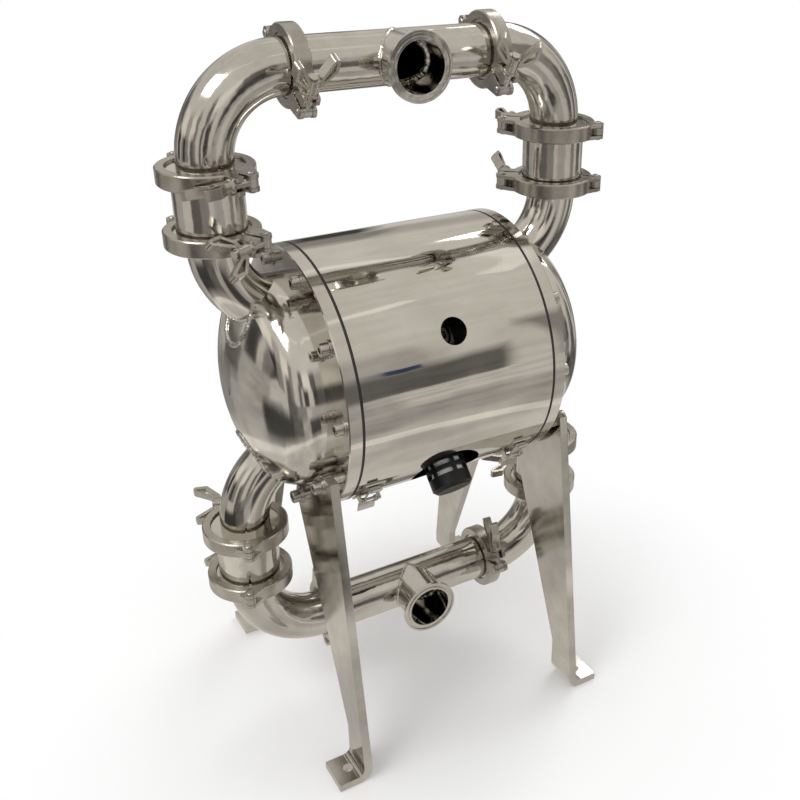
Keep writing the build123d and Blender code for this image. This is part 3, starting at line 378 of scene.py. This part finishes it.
def tee_weld(rise):
    """Points and mean normals of the weld between a manifold and its branch."""
    points = []
    for n in range(weld_steps):
        angle = 2 * math.pi * n / weld_steps
        x, z = pipe_radius * math.cos(angle), pipe_radius * math.sin(angle)
        y = -math.sqrt(max(pipe_radius**2 - z**2, 0))
        branch_normal = Vector((math.cos(angle), 0, math.sin(angle)))
        run_normal = Vector((0, y / pipe_radius, z / pipe_radius))
        place_at = Vector((x, y, axis_height + rise + z))
        points.append((place_at, (branch_normal + run_normal) / 2))
    return points


print("neck weld starts", [round(v / mm, 1) for v in neck_weld(1, 1)[0][0]], "mm")


# %% Sweep the beads
def sweep_bead(name, points, seed):
    """Closed lumpy tube along the weld's line, sunk along the mean normal."""
    lumps = [math.sin(n * 1.9 + seed) * 0.10 + math.sin(n * 0.53 + 2 * seed) * 0.12
             for n in range(len(points))]
    bead = bmesh.new()
    rings = []
    for n, (point, mean) in enumerate(points):
        along = (points[(n + 1) % len(points)][0] - points[n - 1][0]).normalized()
        across = along.cross(mean).normalized()
        outward = across.cross(along)
        centre = point - mean * bead_depth
        radius = bead_radius * (1 + lumps[n] * 0.5)
        turns = [2 * math.pi * k / bead_sides for k in range(bead_sides)]
        rings.append([bead.verts.new(centre + radius * (across * math.cos(turn_by)
                                                        + outward * math.sin(turn_by)))
                      for turn_by in turns])
    for n, ring in enumerate(rings):
        following = rings[(n + 1) % len(rings)]
        for k in range(bead_sides):
            after = (k + 1) % bead_sides
            bead.faces.new((ring[k], ring[after], following[after], following[k]))
    for face in bead.faces:
        face.smooth = True
    bmesh.ops.recalc_face_normals(bead, faces=bead.faces)
    mesh = bpy.data.meshes.new(name)
    bead.to_mesh(mesh)
    bead.free()
    mesh.materials.append(weld_steel)
    piece = bpy.data.objects.new(name, mesh)
    bpy.context.scene.collection.objects.link(piece)
    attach(piece, "pump_frame")


def make_weld():
    finish, tree, shader = new_finish("weld_steel", 1.0, 0.1)
    where = place(tree)
    patches = cloud(tree, where, 90.0, 4.0)
    join(tree, tint(tree, patches, (0.52, 0.50, 0.46), (0.66, 0.64, 0.60)),
         shader.inputs["Base Color"])
    join(tree, between(tree, patches, 0.07, 0.18), shader.inputs["Roughness"])
    relief(tree, shader, [(cloud(tree, where, 150.0, 2.0), 0.0022)])
    return finish


weld_steel = make_weld()
for side, hand in ((1, "right"), (-1, "left")):
    for upward, level in ((1, "upper"), (-1, "lower")):
        sweep_bead(f"{level}_{hand}_neck_weld", neck_weld(side, upward), side + 2 * upward)
for rise, port in ((manifold_rise, "outlet"), (-manifold_rise, "inlet")):
    sweep_bead(f"{port}_tee_weld", tee_weld(rise), rise * 9)

# %% [markdown]
# ## The pale floor
# The pump stands on a plain pale floor. Near the pump the floor is ordinary matt paint,
# so it takes the soft shadow of the feet and the pipes. Further out it fades into a
# surface that is simply white, because a lit floor would turn grey towards the horizon.

# %% Lay the floor
floor_half = 30.0
fade_range = (0.24, 0.50)
floor_mesh = bpy.data.meshes.new("pale_floor")
floor_mesh.from_pydata(
    [(-floor_half, -floor_half, 0), (floor_half, -floor_half, 0),
     (floor_half, floor_half, 0), (-floor_half, floor_half, 0)],
    [], [(0, 1, 2, 3)])
floor = bpy.data.objects.new("pale_floor", floor_mesh)
bpy.context.scene.collection.objects.link(floor)
floor_finish, tree, shader = new_finish("pale_floor", 0.0, 0.9)
where = place(tree)
join(tree, tint(tree, cloud(tree, where, 3.0), (0.955, 0.955, 0.955), (0.975, 0.975, 0.975)),
     shader.inputs["Base Color"])
plain_white = add(tree, "Emission", {"Color": (1, 1, 1, 1), "Strength": 1.0})
distance = add(tree, "VectorMath", operation="LENGTH")
fade = add(tree, "MixShader")
join(tree, where, distance.inputs[0])
join(tree, between(tree, distance.outputs["Value"], 0.0, 1.0, fade_range), fade.inputs["Fac"])
join(tree, shader.outputs["BSDF"], fade.inputs[1])
join(tree, plain_white.outputs["Emission"], fade.inputs[2])
join(tree, fade.outputs["Shader"], tree.nodes["Material Output"].inputs["Surface"])
floor_mesh.materials.append(floor_finish)
print("floor", 2 * floor_half, "m wide")

# %% [markdown]
# ## Studio light
# Large soft panels light the pump from above, and the world is a white room. Together
# they come to about one, so that a colour renders about as it is written.

# %% Set the world's colour
world = bpy.data.worlds.new("white_room")
bpy.context.scene.world = world
world.use_nodes = True
room = world.node_tree
background = room.nodes["Background"]
background.inputs["Color"].default_value = (1.0, 1.0, 1.0, 1)
background.inputs["Strength"].default_value = 0.82
seen = add(room, "Background", {"Color": (1, 1, 1, 1), "Strength": 1.0})
path = add(room, "LightPath")
either = add(room, "Math", operation="MAXIMUM")
any_seen = add(room, "Math", operation="MAXIMUM")
choose = add(room, "MixShader")
join(room, path.outputs["Is Camera Ray"], either.inputs[0])
join(room, path.outputs["Is Glossy Ray"], either.inputs[1])
join(room, either.outputs[0], any_seen.inputs[0])
join(room, path.outputs["Is Transmission Ray"], any_seen.inputs[1])
join(room, any_seen.outputs[0], choose.inputs["Fac"])
join(room, background.outputs["Background"], choose.inputs[1])
join(room, seen.outputs["Background"], choose.inputs[2])
join(room, choose.outputs["Shader"], room.nodes["World Output"].inputs["Surface"])
print("world ready")


# %% Hang the soft panels
def soft_panel(name, centre, target, width, height, power):
    """Rectangular lamp that faces a target."""
    lamp_data = bpy.data.lights.new(name, "AREA")
    lamp_data.shape = "RECTANGLE"
    lamp_data.size = width
    lamp_data.size_y = height
    lamp_data.energy = power
    lamp = bpy.data.objects.new(name, lamp_data)
    lamp.location = centre
    aim = Vector(target) - Vector(centre)
    lamp.rotation_euler = aim.to_track_quat("-Z", "Y").to_euler()
    bpy.context.scene.collection.objects.link(lamp)
    return lamp


middle = (0, 0, axis_height)
soft_panel("key_panel", (-1.7, -0.3, 2.5), middle, 1.5, 0.8, 20)
soft_panel("fill_panel", (1.7, 0.9, 2.1), middle, 1.3, 0.7, 11)
print("panels hung")

# %% [markdown]
# ## What polished steel sees
# Polished steel has hardly any look of its own: it shows the room it stands in. In an
# even white room it would look like chalk, so the pump gets a workshop to reflect. It
# is an invented room: a pale mat under the pump, a floor with aisles, bays of benches,
# cupboards and doorways drawn at random all the way round, and rows of lamps spaced
# evenly under a beige ceiling.
# Only reflections see the room. It neither lights the pump nor shades it.

# %% Collect the tones of the workshop
def warm(value):
    """Slightly yellow grey of one brightness."""
    return (value, 0.95 * value, 0.865 * value)


lamp_white = (1.0, 0.97, 0.90)
crate_blue = (0.05, 0.07, 0.14)
dark, shade, dim, grey, light, pale = 0.06, 0.15, 0.3, 0.5, 0.7, 0.95
draw = random.Random(30)
shell_reach = 3.2
heading_step = 2


def bays(narrow, wide, tones):
    """Bays round the room: where each starts, in degrees, and a brightness drawn for it."""
    found, start = [], -180.0
    while start < 180:
        found.append((start, draw.choice([tone for tone in tones
                                          if not found or tone != found[-1][1]])))
        start += draw.uniform(narrow, wide)
    return found


mat = [(-180, light)]
aisle = bays(15, 45, (dark, shade, dim, grey))
far_floor = bays(10, 35, (shade, dim, grey, light, pale))
low_wall = bays(4, 16, (dark, shade, dim, light))
high_wall = bays(8, 28, (shade, dim, grey, light, pale))
ceiling = [(-180, 0.73)]
print("bays in each ring:", [len(ring) for ring in (aisle, far_floor, low_wall, high_wall)])


def sky_corner(heading, height, lift):
    """Corner of the shell above the floor, by heading and height of the line of sight."""
    reach = shell_reach - lift
    flat = reach * math.cos(math.radians(height))
    return (flat * math.sin(heading), -flat * math.cos(heading),
            axis_height + reach * math.sin(math.radians(height)))


def floor_corner(heading, reach, lift):
    """Corner of the shell on the floor, by heading and distance from the pump."""
    return (reach * math.sin(heading), -reach * math.cos(heading), 0.001 + lift / 20)


def tone_at(steps, heading):
    """Tone of a ring at a heading: the last step that starts before it."""
    return warm([value for start, value in steps if start <= heading][-1])


rows = [(floor_corner, 0.0, mat), (floor_corner, 0.5, mat),
        (floor_corner, 0.7, aisle), (floor_corner, 1.1, aisle),
        (floor_corner, 1.5, far_floor), (floor_corner, 3.15, far_floor),
        (sky_corner, -6, low_wall), (sky_corner, 8, low_wall),
        (sky_corner, 14, high_wall), (sky_corner, 24, high_wall),
        (sky_corner, 30, ceiling), (sky_corner, 60, ceiling), (sky_corner, 89.9, ceiling)]
print(len(rows), "rows from the floor to the ceiling")

# %% Add the cornice, the lamps, the crates and the edge of the mat
patches = [(sky_corner, -180, 180, 31, 32, warm(0.9)),
           (floor_corner, -180, 180, 0.48, 0.56, warm(pale))]
for start in range(-180, 180, 60):
    patches.append((sky_corner, start, start + 40, 38, 43, warm(grey)))
    patches.append((sky_corner, start + 10, start + 50, 57, 60, lamp_white))
    patches.append((sky_corner, start + 20, start + 23, 10, 13, crate_blue))
print(len(patches), "patches in all")


# %% Build the shell from the rows and the patches
def add_strip(shell, tones, headings, lower, upper):
    """Strip of faces between two rows of (corner_at, height, tone for a heading, lift)."""
    rings = []
    for corner_at, height, tone_for, lift in (lower, upper):
        ring = []
        for heading in headings:
            corner = shell.verts.new(corner_at(math.radians(heading), height, lift))
            corner[tones] = (*tone_for(heading), 1)
            ring.append(corner)
        rings.append(ring)
    for n in range(len(headings) - 1):
        shell.faces.new((rings[0][n], rings[0][n + 1], rings[1][n + 1], rings[1][n]))


shell = bmesh.new()
tones = shell.verts.layers.float_color.new("tone")
all_round = list(range(-180, 181, heading_step))
for lower, upper in zip(rows, rows[1:]):
    sides = [(corner_at, height, lambda heading, steps=steps: tone_at(steps, heading), 0)
             for corner_at, height, steps in (lower, upper)]
    add_strip(shell, tones, all_round, *sides)
for number, (corner_at, start, stop, low, high, tone) in enumerate(patches):
    parts = max(1, round((stop - start) / 4))
    headings = [start + (stop - start) * n / parts for n in range(parts + 1)]
    sides = [(corner_at, height, lambda heading, tone=tone: tone, 0.01 + number * 0.002)
             for height in (low, high)]
    add_strip(shell, tones, headings, *sides)
workshop_mesh = bpy.data.meshes.new("workshop_shell")
shell.to_mesh(workshop_mesh)
shell.free()
print("workshop shell of", len(workshop_mesh.polygons), "faces")

# %% Give the shell its tones and hide it from all but reflections
shell_finish = bpy.data.materials.new("workshop_shell")
shell_finish.use_nodes = True
tree = shell_finish.node_tree
tree.nodes.remove(tree.nodes["Principled BSDF"])
tone = add(tree, "VertexColor", layer_name="tone")
glow = add(tree, "Emission", {"Strength": 1.0})
where = place(tree)
height = add(tree, "SeparateXYZ")
join(tree, where, height.inputs["Vector"])
uneven = add(tree, "Mix", data_type="RGBA", blend_type="MULTIPLY")
join(tree, between(tree, height.outputs["Z"], 1.0, 0.25, (0.1, 0.9)), uneven.inputs["Factor"])
join(tree, tone.outputs["Color"], uneven.inputs["A"])
join(tree, tint(tree, cloud(tree, where, 4.5), (0.74, 0.74, 0.76), (1, 1, 1), (0.38, 0.60)),
     uneven.inputs["B"])
join(tree, uneven.outputs["Result"], glow.inputs["Color"])
join(tree, glow.outputs["Emission"], tree.nodes["Material Output"].inputs["Surface"])
shell_finish.cycles.emission_sampling = "NONE"
workshop_mesh.materials.append(shell_finish)
workshop = bpy.data.objects.new("workshop_shell", workshop_mesh)
bpy.context.scene.collection.objects.link(workshop)
workshop.visible_camera = False
workshop.visible_diffuse = False
workshop.visible_shadow = False
print("shell hidden from camera:", not workshop.visible_camera)

# %% [markdown]
# ## Finish
# The last cell sets the plain view transform.

# %% Close the lesson
bpy.context.scene.view_settings.view_transform = "Standard"
